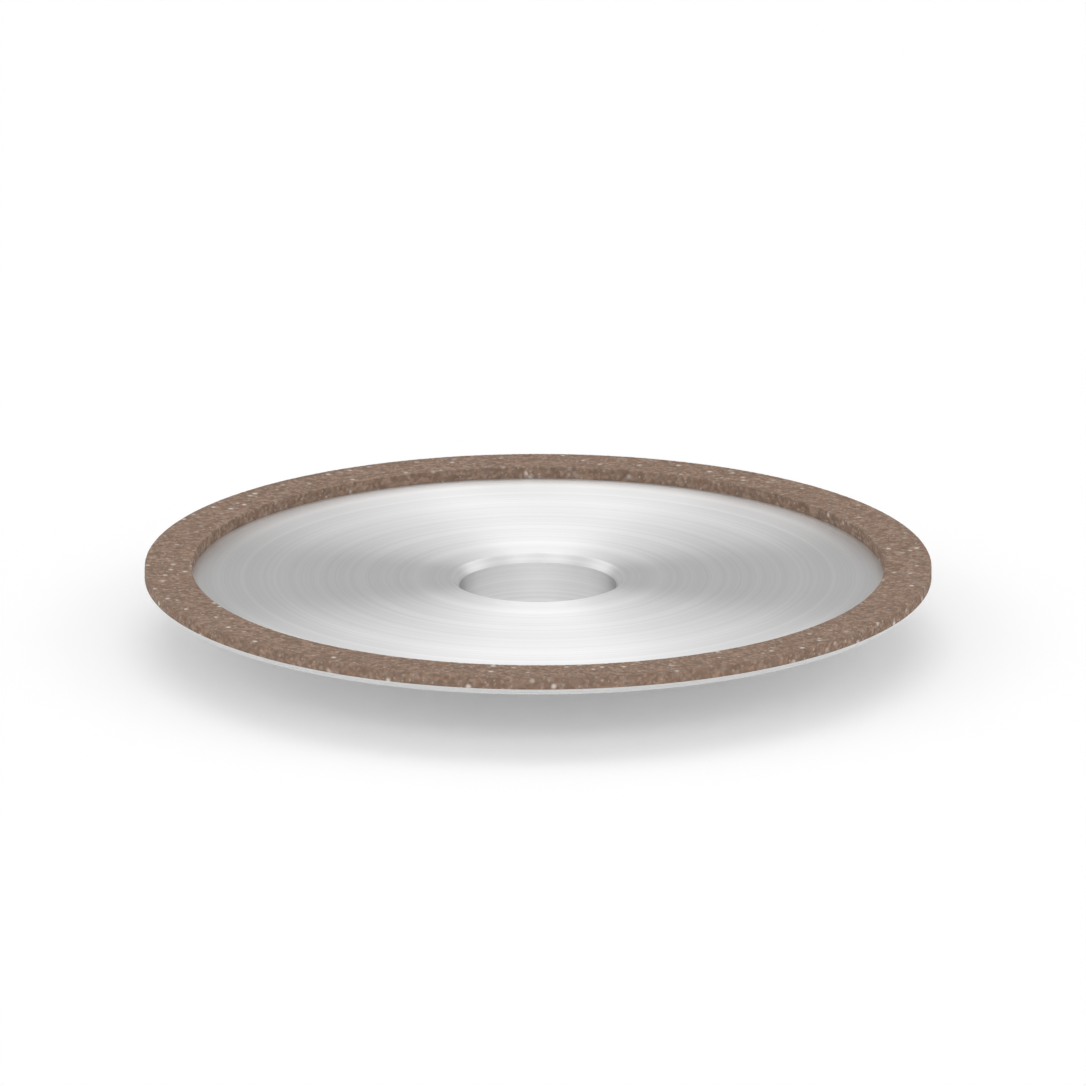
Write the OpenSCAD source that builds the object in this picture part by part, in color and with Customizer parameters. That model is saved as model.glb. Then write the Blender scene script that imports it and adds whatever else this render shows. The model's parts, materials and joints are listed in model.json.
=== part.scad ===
// Dish grinding wheel with a flat abrasive rim.
// A light turned metal body carries a thin ring of bonded abrasive around its
// open face. The body is flat in front. Behind, it swells from a thin chamfered
// rim through a shallow cone and a steeper one to a short hub, which seats
// against the spindle flange. A chamfered bore runs through the hub.
//
// Sizes are in millimetres and degrees. The origin is the centre of the hub's
// seating face, and +Z runs along the spindle, out of the grinding face.

/* [Wheel] */
// Outside diameter of the wheel
wheel_d = 100; // [90:1:120]
// Overall height, from the hub's seating face to the grinding face
wheel_h = 10; // [9:0.5:16]

/* [Abrasive ring] */
// Width of the grinding face, along the radius
ring_w = 6; // [3:0.5:12]
// Depth of the abrasive layer
ring_h = 1.5; // [1:0.25:3]

/* [Bore] */
// Diameter of the spindle bore
bore_d = 20; // [10:1:32]
// Leg of the 45 degree chamfer at each end of the bore
bore_chamfer = 1; // [0.5:0.1:2]

/* [Hub] */
// Diameter of the hub's seating face
hub_d = 45; // [40:1:60]

/* [Back of the dish] */
// Diameter of the knee, where the two cones of the back meet
knee_d = 76; // [60:1:90]
// Rise of the steep cone, from the hub out to the knee, in degrees
steep_angle = 14.5; // [10:0.5:20]
// Rise of the shallow cone, from the knee out to the rim, in degrees
shallow_angle = 7.5; // [3:0.5:12]
// Leg of the 45 degree chamfer that leaves the rim sharp under the abrasive
rim_chamfer = 0.9; // [0.5:0.1:2]

/* [Hidden] */
$fn = 180;

wheel_r = wheel_d / 2;
ring_inner_r = wheel_r - ring_w;
bore_r = bore_d / 2;
hub_r = hub_d / 2;
knee_r = knee_d / 2;

// The body's flat front face is the plane that the abrasive is bonded to
front_z = wheel_h - ring_h;

// Mouth of the bore, outside its chamfer
mouth_r = bore_r + bore_chamfer;

// The back, from the rim inwards: each level hangs on the one outside it
rim_r = wheel_r - rim_chamfer;
rim_z = front_z - rim_chamfer;
knee_z = rim_z - (rim_r - knee_r) * tan(shallow_angle);
shoulder_z = knee_z - (knee_r - hub_r) * tan(steep_angle);

// One side of the body's section, from the bore round the back to the front
module body_section() {
    back_face = [
        [mouth_r, 0],
        [hub_r, 0],
        [hub_r, shoulder_z],
        [knee_r, knee_z],
        [rim_r, rim_z],
    ];
    // The abrasive's seat, then the clear face that the clamping washer bears on
    front_face = [
        [wheel_r, front_z],
        [ring_inner_r, front_z],
        [mouth_r, front_z],
    ];
    bore_wall = [
        [bore_r, front_z - bore_chamfer],
        [bore_r, bore_chamfer],
    ];
    polygon(concat(back_face, front_face, bore_wall));
}

// One side of the abrasive's section, which stands on the front face
module ring_section() {
    translate([ring_inner_r, front_z])
        square([ring_w, ring_h]);
}

// Hub, dish and rim, turned from one blank
module wheel_body() {
    color("silver")
        rotate_extrude()
            body_section();
}

// Bonded abrasive, pressed on the rim as one closed ring
module abrasive_ring() {
    color([0.57, 0.49, 0.43])
        rotate_extrude()
            ring_section();
}

wheel_body();
abrasive_ring();
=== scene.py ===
"""Looks of a dish grinding wheel: a turned aluminium body with a ring of bonded abrasive.

Both pieces are bodies of revolution. Each is made here as one closed surface: an outline in
the plane of radius and height, with its edges broken as on the real part, is carried round
the Z axis. The abrasive's surface then gets its grain. Lengths are in metres, and a name
that ends in _mm, _px or _deg says otherwise.
"""

import json
import logging
import math
from dataclasses import dataclass
from enum import Enum

import bpy
import numpy as np
from mathutils import Matrix, Vector


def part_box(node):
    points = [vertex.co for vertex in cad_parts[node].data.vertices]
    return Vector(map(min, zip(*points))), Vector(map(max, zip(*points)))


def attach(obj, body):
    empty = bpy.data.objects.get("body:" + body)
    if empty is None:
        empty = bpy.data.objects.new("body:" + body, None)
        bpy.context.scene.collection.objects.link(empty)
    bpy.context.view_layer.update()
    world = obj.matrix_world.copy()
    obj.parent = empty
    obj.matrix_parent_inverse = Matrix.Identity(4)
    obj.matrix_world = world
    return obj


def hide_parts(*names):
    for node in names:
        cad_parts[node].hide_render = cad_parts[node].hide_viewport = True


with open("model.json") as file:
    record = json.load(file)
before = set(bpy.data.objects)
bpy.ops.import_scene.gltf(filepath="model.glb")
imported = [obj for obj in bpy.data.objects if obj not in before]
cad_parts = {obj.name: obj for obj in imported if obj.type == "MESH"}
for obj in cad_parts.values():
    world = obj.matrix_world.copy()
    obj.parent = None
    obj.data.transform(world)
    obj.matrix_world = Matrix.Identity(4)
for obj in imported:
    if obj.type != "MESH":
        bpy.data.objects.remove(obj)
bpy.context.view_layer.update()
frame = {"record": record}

LOG = logging.getLogger("grinding_wheel")
MM = 1e-3
BAKE_MAP = "OFBake"
GRAIN_SEED = 20
# How far past an arc the extra point lies, as a share of the arc's radius
EDGE_HOLD = 0.5
# The values that smooth noise mostly lies between
NOISE_RANGE = (0.3, 0.7)


class Edge(Enum):
    """How far an edge of a piece is rounded, as a radius."""

    CRISP = 0.06 * MM
    DEBURRED = 0.15 * MM
    DRESSED = 0.12 * MM
    TOOL_NOSE = 0.4 * MM
    BLENDED = 4.0 * MM


class Ray(Enum):
    """Outputs of the Light Path node for rays that show the backdrop."""

    CAMERA = "Is Camera Ray"
    GLOSSY = "Is Glossy Ray"
    TRANSMISSION = "Is Transmission Ray"


@dataclass(frozen=True)
class Corner:
    """A corner of an outline before its edge is broken."""

    radius: float
    height: float
    edge: Edge = Edge.DEBURRED


def rounded(corners: list[Corner], arc_steps: int) -> np.ndarray:
    """Rounds every corner of a closed outline with an arc.

    At a corner, unit vectors run back and ahead along its two sides and meet at twice the
    angle half. An arc of radius R has its centre R / sin(half) from the corner, midway
    between the sides, and touches them R / tan(half) from the corner. It is swept by
    turning the first touching radius evenly into the second. Each side gets one more point
    EDGE_HOLD times R past the arc, so that smooth shading leaves the rest of it flat.

    Args:
        corners: The outline's corners, with the solid on the left.
        arc_steps: How many straight steps stand for each arc.

    Returns:
        The outline's points in order, as rows of radius and height.
    """
    place = np.array([(c.radius, c.height) for c in corners])
    size = np.array([[c.edge.value] for c in corners])
    back = np.roll(place, 1, axis=0) - place
    ahead = np.roll(place, -1, axis=0) - place
    back /= np.linalg.norm(back, axis=1, keepdims=True)
    ahead /= np.linalg.norm(ahead, axis=1, keepdims=True)
    half = np.arccos((back * ahead).sum(1, keepdims=True)) / 2
    middle = back + ahead
    middle /= np.linalg.norm(middle, axis=1, keepdims=True)
    centre = place + size / np.sin(half) * middle
    first = place + size / np.tan(half) * back - centre
    second = place + size / np.tan(half) * ahead - centre
    turn = np.pi - 2 * half
    share = np.linspace(0, 1, arc_steps + 1)
    weights = np.sin(np.stack([(1 - share) * turn, share * turn])) / np.sin(turn)
    swept = weights[0][..., None] * first[:, None] + weights[1][..., None] * second[:, None]
    before = first + EDGE_HOLD * size * back
    after = second + EDGE_HOLD * size * ahead
    points = np.concatenate([before[:, None], swept, after[:, None]], axis=1)
    return (centre[:, None] + points).reshape(-1, 2)


def spaced(outline: np.ndarray, step: float | np.ndarray) -> np.ndarray:
    """Cuts the straight runs of a closed outline into equal parts.

    Each run takes as many parts as keep a part within the step, and a part's points lie at
    equal shares of the run.

    Args:
        outline: Rows of radius and height.
        step: The longest part, one for all runs or one for each.

    Returns:
        The finer outline, as rows of radius and height.
    """
    run = np.roll(outline, -1, axis=0) - outline
    parts = np.ceil(np.linalg.norm(run, axis=1) / step).clip(1).astype(int)
    owner = np.repeat(np.arange(len(outline)), parts)
    part = np.arange(len(owner)) - np.repeat(np.cumsum(parts) - parts, parts)
    return outline[owner] + (part / parts[owner])[:, None] * run[owner]


def outward(outline: np.ndarray) -> np.ndarray:
    """Gives each point of a closed outline its unit normal, away from the solid.

    The direction of the outline at a point is the line from the point before to the point
    after, and the normal is that direction turned a quarter turn to the right.

    Args:
        outline: Rows of radius and height, with the solid on the left.

    Returns:
        One row of radius and height per point.
    """
    along = np.roll(outline, -1, axis=0) - np.roll(outline, 1, axis=0)
    along /= np.linalg.norm(along, axis=1, keepdims=True)
    return np.stack([along[:, 1], -along[:, 0]], axis=1)


def banded_noise(shape: tuple[int, int], spacing: tuple[float, float], size: float,
                 rng: np.random.Generator) -> np.ndarray:
    """Makes a smooth random field that closes on itself both ways.

    White noise is split into waves, each wave is weighed by x squared times exp(-x squared),
    where x is the size divided by the wave's length, and the waves are summed again.

    Args:
        shape: Rows and columns of the grid.
        spacing: Distance between rows and between columns.
        size: Length of the strongest waves.
        rng: The source of the random numbers.

    Returns:
        The field, with a mean of 0 and a spread of 1.
    """
    down = np.fft.fftfreq(shape[0], spacing[0])[:, None]
    across = np.fft.fftfreq(shape[1], spacing[1])[None, :]
    ratio = (down**2 + across**2) * size**2
    waves = np.fft.fft2(rng.standard_normal(shape)) * ratio * np.exp(-ratio)
    field = np.fft.ifft2(waves).real
    return field / field.std()


def smooth_step(low: float, high: float, value: np.ndarray) -> np.ndarray:
    """Rises from 0 at low to 1 at high along 3t squared minus 2t cubed."""
    t = ((value - low) / (high - low)).clip(0, 1)
    return t * t * (3 - 2 * t)


@dataclass(frozen=True)
class Turning:
    """A surface of revolution: radius and height on a grid of outline points by angles."""

    name: str
    radius: np.ndarray
    height: np.ndarray
    map_rows: int = 1
    map_gap: float = 0.0

    def place(self) -> np.ndarray:
        """Puts each point at radius times (cos, sin) of its column's angle, and at its height."""
        angle = np.linspace(0, 2 * np.pi, self.radius.shape[1], endpoint=False)
        return np.stack([self.radius * np.cos(angle), self.radius * np.sin(angle), self.height], axis=-1)

    def faces(self) -> np.ndarray:
        """Joins each point to the next one round the axis and the next one along the outline.

        Returns:
            Four point numbers for each face, counter-clockwise as seen from outside.
        """
        rows, columns = self.radius.shape
        index = np.arange(rows * columns).reshape(rows, columns)
        round_on = np.roll(index, -1, axis=1)
        along_on = np.roll(index, -1, axis=0)
        both_on = np.roll(along_on, -1, axis=1)
        return np.stack([index, round_on, both_on, along_on], axis=-1)

    def bake_map(self) -> np.ndarray:
        """Lays the surface out flat, with u round the axis and v along the outline.

        The full turn is cut into equal arcs, which lie above each other as rows of the map.
        Within a row, u is the share of the arc and v the share of the outline's length.

        Returns:
            One u and v for each corner of each face.
        """
        rows, columns = self.radius.shape
        along = np.stack([self.radius[:, 0], self.height[:, 0]], axis=1)
        run = np.linalg.norm(np.roll(along, -1, axis=0) - along, axis=1)
        v_edges = np.concatenate([[0.0], np.cumsum(run)]) / run.sum()
        per_arc = columns // self.map_rows
        arc, step = np.divmod(np.arange(columns), per_arc)
        span = 1 - 2 * self.map_gap
        left = self.map_gap + span * step / per_arc
        right = self.map_gap + span * (step + 1) / per_arc
        low = (arc + self.map_gap + span * v_edges[:-1, None]) / self.map_rows
        high = (arc + self.map_gap + span * v_edges[1:, None]) / self.map_rows
        u = np.broadcast_to(np.stack([left, right, right, left], axis=-1), (rows, columns, 4))
        v = np.stack([low, low, high, high], axis=-1)
        return np.stack([u, v], axis=-1)

    def build(self) -> bpy.types.Object:
        """Makes the mesh object, shaded smooth, with its bake map.

        Returns:
            The object, linked to the scene.
        """
        faces = self.faces()
        mesh = bpy.data.meshes.new(self.name)
        mesh.vertices.add(self.radius.size)
        mesh.vertices.foreach_set("co", self.place().ravel())
        mesh.loops.add(faces.size)
        mesh.loops.foreach_set("vertex_index", faces.ravel())
        mesh.polygons.add(self.radius.size)
        mesh.polygons.foreach_set("loop_start", np.arange(0, faces.size, 4))
        mesh.update(calc_edges=True)
        mesh.shade_smooth()
        mesh.uv_layers.new(name=BAKE_MAP).uv.foreach_set("vector", self.bake_map().ravel())
        made = bpy.data.objects.new(self.name, mesh)
        bpy.context.scene.collection.objects.link(made)
        return made


class Graph:
    """A node tree that is built from its inputs to its output."""

    def __init__(self, owner: bpy.types.Material | bpy.types.World) -> None:
        """Empties the owner's node tree.

        Args:
            owner: The material or world to build.
        """
        owner.use_nodes = True
        self.tree = owner.node_tree
        self.tree.nodes.clear()

    def node(self, kind: str, feeds: dict[str | int, object] | None = None,
             **settings: object) -> bpy.types.Node:
        """Adds a node.

        Args:
            kind: The node's type, without the words ShaderNode.
            feeds: What goes into its inputs: a value, or a socket to link.
            settings: The node's own properties.

        Returns:
            The new node.
        """
        made = self.tree.nodes.new("ShaderNode" + kind)
        for name, value in settings.items():
            setattr(made, name, value)
        for key, value in (feeds or {}).items():
            if isinstance(value, bpy.types.NodeSocket):
                self.tree.links.new(value, made.inputs[key])
            else:
                made.inputs[key].default_value = value
        return made

    def maths(self, operation: str, *feeds: object) -> bpy.types.NodeSocket:
        """Adds a Math node on numbers or sockets, and returns its result."""
        return self.node("Math", dict(enumerate(feeds)), operation=operation).outputs[0]

    def fit(self, value: bpy.types.NodeSocket, source: tuple[float, float],
            target: tuple[float, float], way: str = "LINEAR") -> bpy.types.NodeSocket:
        """Moves a value from one range to another.

        Args:
            value: The socket to read.
            source: The range that it comes in, past which it is held.
            target: The range that it goes to.
            way: LINEAR, or SMOOTHSTEP for soft ends.

        Returns:
            The result's socket.
        """
        feeds = {"Value": value, "From Min": source[0], "From Max": source[1],
                 "To Min": target[0], "To Max": target[1]}
        return self.node("MapRange", feeds, interpolation_type=way).outputs["Result"]

    def ramp(self, value: bpy.types.NodeSocket, stops: list[tuple[float, float]]) -> bpy.types.NodeSocket:
        """Turns a value from 0 to 1 into a grey level, straight from one stop to the next.

        Args:
            value: The socket to read.
            stops: Places and their levels.

        Returns:
            The level's socket.
        """
        made = self.node("ValToRGB", {"Fac": value})
        elements = made.color_ramp.elements
        while len(elements) < len(stops):
            elements.new(0.5)
        for element, (place, level) in zip(elements, stops):
            element.position = place
            element.color = (level, level, level, 1)
        return made.outputs["Color"]

    def noise(self, vector: bpy.types.NodeSocket, size: float, detail: float = 2.0,
              roughness: float = 0.5) -> bpy.types.NodeSocket:
        """Adds smooth noise.

        Args:
            vector: Where it is read, in metres.
            size: The size of its largest lumps.
            detail: How many finer layers it has.
            roughness: How strong the finer layers are.

        Returns:
            The noise, about 0.5 on average.
        """
        feeds = {"Vector": vector, "Scale": 1 / size, "Detail": detail, "Roughness": roughness}
        return self.node("TexNoise", feeds).outputs["Fac"]

    def blend(self, share: object, first: object, second: object, way: str = "MIX") -> bpy.types.NodeSocket:
        """Mixes two colours.

        Args:
            share: How much of the second colour shows.
            first: A colour or a socket.
            second: A colour or a socket.
            way: The Mix node's blend type.

        Returns:
            The mixed colour.
        """
        feeds = {"Factor": share, 6: first, 7: second}
        return self.node("Mix", feeds, data_type="RGBA", blend_type=way).outputs[2]


@dataclass(frozen=True)
class TurnedAluminium:
    """Aluminium as the lathe leaves it: satin, with fine grooves round the axis.

    The front is cut at a coarse feed and the back at a fine one. The mesh says which is
    where, in its attribute named after fine_cut.
    """

    name: str = "turned_aluminium"
    colour: tuple[float, float, float] = (0.88, 0.88, 0.88)
    roughness: float = 0.36
    fine_roughness: float = 0.26
    fine_cut: str = "fine_cut"
    stretch: float = 0.92
    across_grooves: float = 0.25
    groove_size: float = 0.3 * MM
    groove_share: float = 0.55
    groove_depth: float = 0.007 * MM
    fine_groove_share: float = 0.4
    band_size: float = 1.6 * MM
    patch_size: float = 14 * MM
    patch_share: float = 0.25
    tone_range: tuple[float, float] = (0.9, 1.04)
    roughness_swing: float = 0.05

    def build(self) -> bpy.types.Material:
        """Makes the material.

        The grooves are noise read at the point (radius, height), so it is the same all round
        the axis. A broad noise in space makes the finish a little rougher here and there.

        Returns:
            The finished material.
        """
        material = bpy.data.materials.new(self.name)
        graph = Graph(material)
        place = graph.node("TexCoord").outputs["Object"]
        split = graph.node("SeparateXYZ", {0: place})
        radius = graph.maths("SQRT", graph.maths(
            "ADD",
            graph.maths("MULTIPLY", split.outputs["X"], split.outputs["X"]),
            graph.maths("MULTIPLY", split.outputs["Y"], split.outputs["Y"]),
        ))
        section = graph.node("CombineXYZ", {"X": radius, "Y": split.outputs["Z"]}).outputs[0]
        grooves = graph.noise(section, self.groove_size, detail=1.0)
        bands = graph.noise(section, self.band_size, detail=2.0)
        patches = graph.noise(place, self.patch_size, detail=1.0)

        groove_part = graph.maths("MULTIPLY", grooves, self.groove_share)
        tone = graph.maths("MULTIPLY_ADD", bands, 1 - self.groove_share, groove_part)
        light = graph.fit(tone, NOISE_RANGE, self.tone_range)
        grey = graph.node("CombineXYZ", {0: light, 1: light, 2: light}).outputs[0]
        colour = graph.blend(1.0, (*self.colour, 1.0), grey, "MULTIPLY")

        fine = graph.node("Attribute", attribute_name=self.fine_cut).outputs["Fac"]
        tone_part = graph.maths("MULTIPLY", tone, 1 - self.patch_share)
        uneven = graph.maths("MULTIPLY_ADD", patches, self.patch_share, tone_part)
        swing = graph.fit(uneven, NOISE_RANGE, (-self.roughness_swing, self.roughness_swing))
        feed = graph.fit(fine, (0, 1), (self.roughness, self.fine_roughness))
        roughness = graph.maths("ADD", feed, swing)
        height = graph.maths("MULTIPLY", grooves, graph.fit(fine, (0, 1), (1.0, self.fine_groove_share)))
        bump = graph.node("Bump", {"Height": height, "Strength": 1.0, "Distance": self.groove_depth})

        shader = graph.node("BsdfPrincipled", {
            "Base Color": colour,
            "Metallic": 1.0,
            "Roughness": roughness,
            "Anisotropic": self.stretch,
            "Anisotropic Rotation": self.across_grooves,
            "Normal": bump.outputs["Normal"],
            "Tangent": graph.node("Tangent", direction_type="UV_MAP", uv_map=BAKE_MAP).outputs[0],
        })
        graph.node("OutputMaterial", {"Surface": shader.outputs[0]})
        return material


@dataclass(frozen=True)
class BondedGrit:
    """Abrasive grains in a brown resin bond, matt, with a few pale grains."""

    name: str = "bonded_grit"
    dark: tuple[float, float, float] = (0.188, 0.126, 0.091)
    middle: tuple[float, float, float] = (0.264, 0.180, 0.134)
    light: tuple[float, float, float] = (0.379, 0.273, 0.209)
    pale: tuple[float, float, float] = (0.72, 0.66, 0.60)
    grey_tint: tuple[float, float, float] = (0.965, 1.01, 1.065)
    red_tint: tuple[float, float, float] = (1.035, 0.99, 0.935)
    dark_tone: float = 0.28
    middle_tone: float = 0.6
    light_tone: float = 0.9
    roughness: float = 0.82
    pale_roughness: float = 0.5
    gloss: float = 0.12
    mottle_size: float = 1.3 * MM
    mottle_share: float = 0.75
    mottle_detail: float = 4.0
    mottle_roughness: float = 0.65
    tint_size: float = 0.9 * MM
    grain_size: float = 0.42 * MM
    grain_share: float = 0.45
    grain_softness: float = 0.6
    fine_pale_share: float = 0.2
    fine_pale_range: tuple[float, float] = (0.05, 0.5)
    coarse_grain_size: float = 1.1 * MM
    coarse_pale_share: float = 0.17
    coarse_pale_range: tuple[float, float] = (0.1, 0.95)
    pale_core: float = 0.08
    pale_reach: float = 0.46
    relief: float = 0.03 * MM
    grain_bulge: float = 0.6
    turn: tuple[float, float, float] = (0.6, 0.4, 0.3)

    def pale_grains(self, graph: Graph, cells: bpy.types.Node, share: float,
                    strength: tuple[float, float]) -> bpy.types.NodeSocket:
        """Picks some cells at random to hold a pale grain, which fades out from its core.

        Args:
            graph: The material's nodes.
            cells: The Voronoi node that cuts space into cells.
            share: How many of the cells hold one.
            strength: How pale the faintest and the clearest are.

        Returns:
            How far each place is pale, from 0 to 1.
        """
        lots = graph.node("SeparateColor", {0: cells.outputs["Color"]})
        chosen = graph.maths("LESS_THAN", lots.outputs[1], share)
        core = graph.maths("MULTIPLY", chosen, graph.fit(lots.outputs[2], (0, 1), strength))
        near = graph.fit(cells.outputs["Distance"], (self.pale_core, self.pale_reach), (1, 0), "SMOOTHSTEP")
        return graph.maths("MULTIPLY", core, near)

    def build(self) -> bpy.types.Material:
        """Makes the material.

        Cells the size of a grain each take a random tone that runs softly into the next, over
        a broader mottle of the bond, which also turns a little grey here and red there. Some
        cells are pale, and so are some larger ones. The whole pattern is turned off the axes,
        so that no row of it shows on the flat face.

        Returns:
            The finished material.
        """
        material = bpy.data.materials.new(self.name)
        graph = Graph(material)
        straight = graph.node("TexCoord").outputs["Object"]
        place = graph.node("Mapping", {"Vector": straight, "Rotation": self.turn}).outputs[0]
        mottle = graph.noise(place, self.mottle_size, self.mottle_detail, self.mottle_roughness)
        soft_cells = graph.node("TexVoronoi", {
            "Vector": place,
            "Scale": 1 / self.grain_size,
            "Smoothness": self.grain_softness,
        }, feature="SMOOTH_F1")
        cell_tone = graph.node("SeparateColor", {0: soft_cells.outputs["Color"]}).outputs[0]
        mottle_part = graph.maths("MULTIPLY", mottle, self.mottle_share)
        tone = graph.maths("MULTIPLY_ADD", cell_tone, self.grain_share, mottle_part)
        to_middle = graph.fit(tone, (self.dark_tone, self.middle_tone), (0, 1))
        to_light = graph.fit(tone, (self.middle_tone, self.light_tone), (0, 1))
        darker = graph.blend(to_middle, (*self.dark, 1), (*self.middle, 1))
        plain = graph.blend(to_light, darker, (*self.light, 1))
        hue = graph.fit(graph.noise(place, self.tint_size), NOISE_RANGE, (0, 1))
        tint = graph.blend(hue, (*self.grey_tint, 1), (*self.red_tint, 1))
        bond = graph.blend(1.0, plain, tint, "MULTIPLY")

        cells = graph.node("TexVoronoi", {"Vector": place, "Scale": 1 / self.grain_size})
        coarse = graph.node("TexVoronoi", {"Vector": place, "Scale": 1 / self.coarse_grain_size})
        speck = graph.maths(
            "MAXIMUM",
            self.pale_grains(graph, cells, self.fine_pale_share, self.fine_pale_range),
            self.pale_grains(graph, coarse, self.coarse_pale_share, self.coarse_pale_range),
        )
        colour = graph.blend(speck, bond, (*self.pale, 1))

        roughness = graph.fit(speck, (0, 1), (self.roughness, self.pale_roughness))
        bulge = graph.maths("MULTIPLY", cells.outputs["Distance"], -self.grain_bulge)
        height = graph.maths("ADD", bulge, mottle)
        bump = graph.node("Bump", {"Height": height, "Strength": 1.0, "Distance": self.relief})
        shader = graph.node("BsdfPrincipled", {
            "Base Color": colour,
            "Roughness": roughness,
            "Specular IOR Level": self.gloss,
            "Normal": bump.outputs["Normal"],
        })
        graph.node("OutputMaterial", {"Surface": shader.outputs[0]})
        return material


@dataclass(frozen=True)
class WheelBody:
    """Hub, dish and rim, turned from one blank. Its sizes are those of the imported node."""

    front: float
    outer: float
    bore: float
    hub: float = 22.5 * MM
    knee: float = 38 * MM
    bore_chamfer: float = 1 * MM
    rim_chamfer: float = 0.9 * MM
    steep_deg: float = 14.5
    shallow_deg: float = 7.5
    columns: int = 360
    arc_steps: int = 5
    longest_step: float = 1.2 * MM

    @classmethod
    def from_frame(cls) -> "WheelBody":
        """Reads the front's height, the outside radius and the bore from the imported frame.

        Returns:
            The body, with its other sizes as given here.
        """
        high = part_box("wheel_body")[1]
        mounts = {mount["name"]: mount for mount in frame["record"]["mounts"]}
        return cls(front=high.z, outer=high.x, bore=mounts["bore"]["dims"]["r_mm"] * MM)

    def outline(self) -> list[Corner]:
        """Works out the section, from the hub's face out along the back and in to the bore.

        Returns:
            Its corners, with the solid on the left.
        """
        rim = self.outer - self.rim_chamfer
        rim_height = self.front - self.rim_chamfer
        knee_height = rim_height - (rim - self.knee) * math.tan(math.radians(self.shallow_deg))
        shoulder = knee_height - (self.knee - self.hub) * math.tan(math.radians(self.steep_deg))
        mouth = self.bore + self.bore_chamfer
        return [
            Corner(mouth, 0, Edge.CRISP),
            Corner(self.hub, 0),
            Corner(self.hub, shoulder, Edge.TOOL_NOSE),
            Corner(self.knee, knee_height, Edge.BLENDED),
            Corner(rim, rim_height, Edge.CRISP),
            Corner(self.outer, self.front, Edge.CRISP),
            Corner(mouth, self.front, Edge.CRISP),
            Corner(self.bore, self.front - self.bore_chamfer, Edge.CRISP),
            Corner(self.bore, self.bore_chamfer, Edge.CRISP),
        ]

    def build(self, finish: TurnedAluminium) -> bpy.types.Object:
        """Turns the section and dresses it.

        Args:
            finish: The metal's finish.

        Returns:
            The piece.
        """
        section = spaced(rounded(self.outline(), self.arc_steps), self.longest_step)
        radius = np.repeat(section[:, :1], self.columns, axis=1)
        height = np.repeat(section[:, 1:], self.columns, axis=1)
        piece = Turning("turned_body", radius, height).build()
        mouth = self.bore + self.bore_chamfer
        back = (radius > mouth) & (height < self.front - Edge.CRISP.value)
        fine_cut = piece.data.attributes.new(finish.fine_cut, "FLOAT", "POINT")
        fine_cut.data.foreach_set("value", back.astype(np.float32).ravel())
        piece.data.materials.append(finish.build())
        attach(piece, "root")
        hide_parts("wheel_body")
        return piece


@dataclass(frozen=True)
class AbrasiveRing:
    """The closed ring of bonded abrasive on the body's front."""

    low: float
    high: float
    outer: float
    width: float = 6 * MM
    columns: int = 1280
    arc_steps: int = 3
    longest_step: float = 0.16 * MM
    seat_step: float = 2 * MM
    smooth_foot: float = 0.12 * MM
    lump_size: float = 0.9 * MM
    lump_height: float = 0.016 * MM
    lump_limit: float = 2.0
    pore_size: float = 0.8 * MM
    pore_depth: float = 0.05 * MM
    pore_spreads: tuple[float, float] = (1.6, 3.0)
    map_rows: int = 4
    map_gap: float = 0.004

    @classmethod
    def from_frame(cls) -> "AbrasiveRing":
        """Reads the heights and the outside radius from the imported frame."""
        low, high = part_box("abrasive_ring")
        return cls(low=low.z, high=high.z, outer=high.x)

    def outline(self) -> list[Corner]:
        """Works out the section, from the outside of the seat round to its inside.

        Returns:
            Its corners, with the solid on the left.
        """
        inner = self.outer - self.width
        return [
            Corner(self.outer, self.low, Edge.CRISP),
            Corner(self.outer, self.high, Edge.DRESSED),
            Corner(inner, self.high, Edge.DRESSED),
            Corner(inner, self.low, Edge.CRISP),
        ]

    def depth(self, shape: tuple[int, int]) -> np.ndarray:
        """Works out how far the surface lies inside the ring's true form.

        Lumps are banded noise, kept within lump_limit spreads of its mean. Pores are the
        parts of a second noise that lie pore_spreads above its mean, each with a soft wall.

        Args:
            shape: Outline points by angles.

        Returns:
            The depth at each point, never below 0.
        """
        rng = np.random.default_rng(GRAIN_SEED)
        spacing = (self.longest_step, 2 * np.pi * self.outer / self.columns)
        limit = self.lump_limit
        lumps = banded_noise(shape, spacing, self.lump_size, rng).clip(-limit, limit)
        pores = banded_noise(shape, spacing, self.pore_size, rng)
        hollow = self.pore_depth * smooth_step(*self.pore_spreads, pores)
        return self.lump_height * (limit - lumps) / limit + hollow

    def build(self, finish: BondedGrit) -> bpy.types.Object:
        """Turns the section, roughens it and dresses it.

        The seat is bonded to the body and stays smooth, so it takes longer parts, and the
        roughness sets in over smooth_foot above it.

        Args:
            finish: The abrasive's finish.

        Returns:
            The piece.
        """
        outline = rounded(self.outline(), self.arc_steps)
        on_seat = np.isclose(outline[:, 1], self.low)
        step = np.where(on_seat & np.roll(on_seat, -1), self.seat_step, self.longest_step)
        section = spaced(outline, step)
        normal = outward(section)
        depth = self.depth((len(section), self.columns))
        depth *= smooth_step(self.low, self.low + self.smooth_foot, section[:, 1:])
        radius = section[:, :1] - depth * normal[:, :1]
        height = section[:, 1:] - depth * normal[:, 1:]
        piece = Turning("abrasive_rim", radius, height, self.map_rows, self.map_gap).build()
        piece.data.materials.append(finish.build())
        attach(piece, "root")
        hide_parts("abrasive_ring")
        return piece


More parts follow.
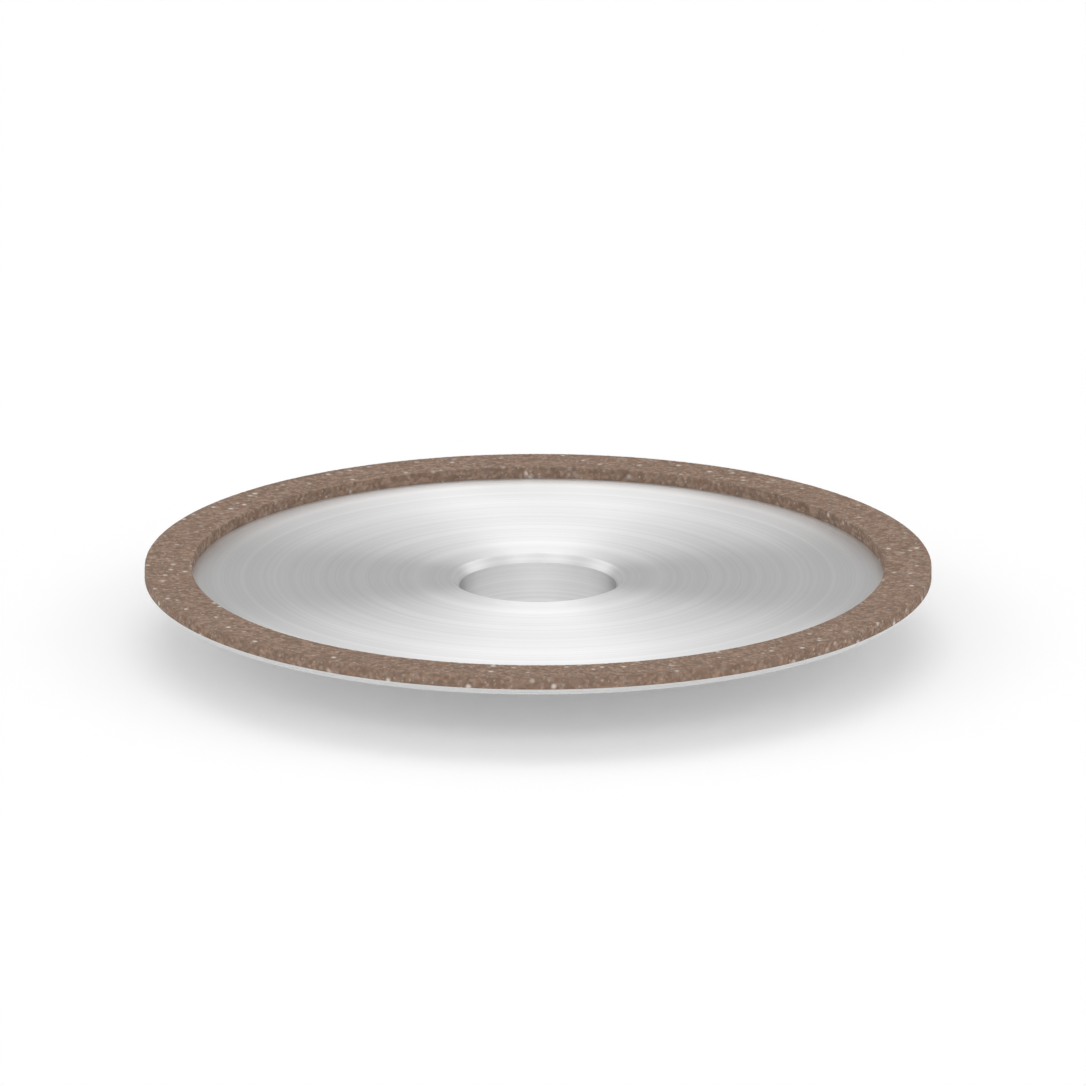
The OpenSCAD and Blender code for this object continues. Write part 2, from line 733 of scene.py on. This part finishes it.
@dataclass(frozen=True)
class PhotoCamera:
    """The photograph's view: parallel, level, and looking down a little."""

    elevation_deg: float = 16.6
    frame_px: float = 1086
    left_px: float = 144.5
    right_px: float = 931.6
    face_centre_px: tuple[float, float] = (538.1, 566.0)
    distance: float = 1.0

    def build(self, width: float, top: float) -> bpy.types.Object:
        """Makes the camera and aims it.

        Args:
            width: The wheel's outside diameter.
            top: Height of the grinding face, whose centre lies at face_centre_px.

        Returns:
            The camera.
        """
        metre_per_px = width / (self.right_px - self.left_px)
        tilt = math.radians(self.elevation_deg)
        right = Vector((1, 0, 0))
        up = Vector((0, math.sin(tilt), math.cos(tilt)))
        back = Vector((0, -math.cos(tilt), math.sin(tilt)))
        off_right = (self.frame_px / 2 - self.face_centre_px[0]) * metre_per_px
        off_up = (self.face_centre_px[1] - self.frame_px / 2) * metre_per_px
        data = bpy.data.cameras.new("photo_camera")
        data.type = "ORTHO"
        data.ortho_scale = self.frame_px * metre_per_px
        camera = bpy.data.objects.new("photo_camera", data)
        bpy.context.scene.collection.objects.link(camera)
        middle = Vector((0, 0, top)) + right * off_right + up * off_up
        turned = Matrix((right, up, back)).transposed().to_4x4()
        camera.matrix_world = Matrix.Translation(middle + back * self.distance) @ turned
        bpy.context.scene.camera = camera
        return camera


@dataclass(frozen=True)
class Studio:
    """A white floor, a soft sky and a round softbox straight above.

    The sky's stops are elevations in degrees with their radiance. Behind the wheel it is dim
    near the horizon, which the metal mirrors at its sides, and bright higher up, which only
    the grooves that run across the view catch. Before the wheel it is bright at the horizon
    and again halfway up, which lights the walls that face the view, and it is dimmer to the
    sides.
    """

    floor_side: float = 12.0
    floor_shadow: float = 0.9
    floor_glow: float = 1.2
    back_stops: tuple[tuple[float, float], ...] = (
        (0, 0.6), (24, 0.42), (36, 1.0), (44, 1.2), (60, 2.55), (68, 2.2), (80, 0.95), (90, 0.4),
    )
    front_stops: tuple[tuple[float, float], ...] = (
        (0, 1.3), (15, 0.35), (28, 1.45), (38, 1.9), (58, 0.85), (70, 0.35), (90, 0.4),
    )
    side_stops: tuple[tuple[float, float], ...] = (
        (0, 0.95), (17, 0.4), (34, 1.35), (52, 0.35), (62, 0.4), (75, 1.1), (90, 0.4),
    )
    box_height: float = 0.7
    box_width: float = 0.4
    box_radiance: float = 0.25

    def build_floor(self) -> bpy.types.Object:
        """Makes the floor, which shows white and still takes the wheel's shadow.

        Rays from the camera and from reflections see a mix of the lit floor and plain white,
        and all other rays see the lit floor alone. The plain white lights nothing, so it isn't
        sampled as a lamp.

        Returns:
            The floor.
        """
        half = self.floor_side / 2
        mesh = bpy.data.meshes.new("floor")
        corners = [(-half, -half, 0), (half, -half, 0), (half, half, 0), (-half, half, 0)]
        mesh.from_pydata(corners, [], [(0, 1, 2, 3)])
        material = bpy.data.materials.new("white_floor")
        graph = Graph(material)
        path = graph.node("LightPath")
        seen = path.outputs[Ray.CAMERA.value]
        seen = graph.maths("MAXIMUM", seen, path.outputs[Ray.GLOSSY.value])
        seen = graph.maths("MAXIMUM", seen, path.outputs[Ray.TRANSMISSION.value])
        lit = graph.node("BsdfDiffuse", {"Color": (1, 1, 1, 1)})
        white = graph.node("Emission", {"Color": (1, 1, 1, 1), "Strength": self.floor_glow})
        share = graph.maths("MULTIPLY", seen, 1 - self.floor_shadow)
        mixed = graph.node("MixShader", {0: share, 1: lit.outputs[0], 2: white.outputs[0]})
        graph.node("OutputMaterial", {"Surface": mixed.outputs[0]})
        material.cycles.emission_sampling = "NONE"
        mesh.materials.append(material)
        floor = bpy.data.objects.new("floor", mesh)
        bpy.context.scene.collection.objects.link(floor)
        return floor

    def build_sky(self) -> None:
        """Lights the scene from all round: white below the horizon, and the stops above it.

        With x, y and z as the direction looked in, z finds the place between the stops. The
        share of the back stops where y is above 0, and of the front stops elsewhere, is y
        squared over x squared plus y squared, and the side stops have the rest.
        """
        world = bpy.data.worlds.new("sky")
        graph = Graph(world)
        way = graph.node("SeparateXYZ", {0: graph.node("TexCoord").outputs["Generated"]})
        across = graph.maths("MULTIPLY", way.outputs["X"], way.outputs["X"])
        endways = graph.maths("MULTIPLY", way.outputs["Y"], way.outputs["Y"])
        share = graph.maths("DIVIDE", endways, graph.maths("ADD", across, endways))
        side, front, back = (
            graph.ramp(way.outputs["Z"], [(math.sin(math.radians(place)), level) for place, level in stops])
            for stops in (self.side_stops, self.front_stops, self.back_stops)
        )
        behind = graph.maths("GREATER_THAN", way.outputs["Y"], 0.0)
        above = graph.blend(share, side, graph.blend(behind, front, back))
        below = graph.maths("LESS_THAN", way.outputs["Z"], 0.0)
        strength = graph.blend(below, above, (1, 1, 1, 1))
        light = graph.node("Background", {"Color": strength, "Strength": 1.0})
        graph.node("OutputWorld", {"Surface": light.outputs[0]})
        bpy.context.scene.world = world

    def build_softbox(self) -> bpy.types.Object:
        """Hangs a round lamp over the wheel. Its power is radiance times pi times its area.

        Returns:
            The lamp.
        """
        data = bpy.data.lights.new("softbox", "AREA")
        data.shape = "DISK"
        data.size = self.box_width
        data.energy = self.box_radiance * math.pi * math.pi * (self.box_width / 2) ** 2
        lamp = bpy.data.objects.new("softbox", data)
        lamp.location = (0, 0, self.box_height)
        lamp.visible_camera = False
        bpy.context.scene.collection.objects.link(lamp)
        return lamp

    def build(self) -> None:
        """Sets up the floor, the sky and the softbox."""
        self.build_floor()
        self.build_sky()
        self.build_softbox()
        bpy.context.scene.view_settings.view_transform = "Standard"


def main() -> None:
    """Builds the camera, the wheel's two pieces and the studio, in that order."""
    logging.basicConfig(level=logging.INFO, format="%(name)s: %(message)s")
    ring = AbrasiveRing.from_frame()
    body = WheelBody.from_frame()
    PhotoCamera().build(2 * ring.outer, ring.high)
    for piece in (body.build(TurnedAluminium()), ring.build(BondedGrit())):
        LOG.info("%s has %d faces", piece.name, len(piece.data.polygons))
    Studio().build()


if __name__ == "__main__":
    main()
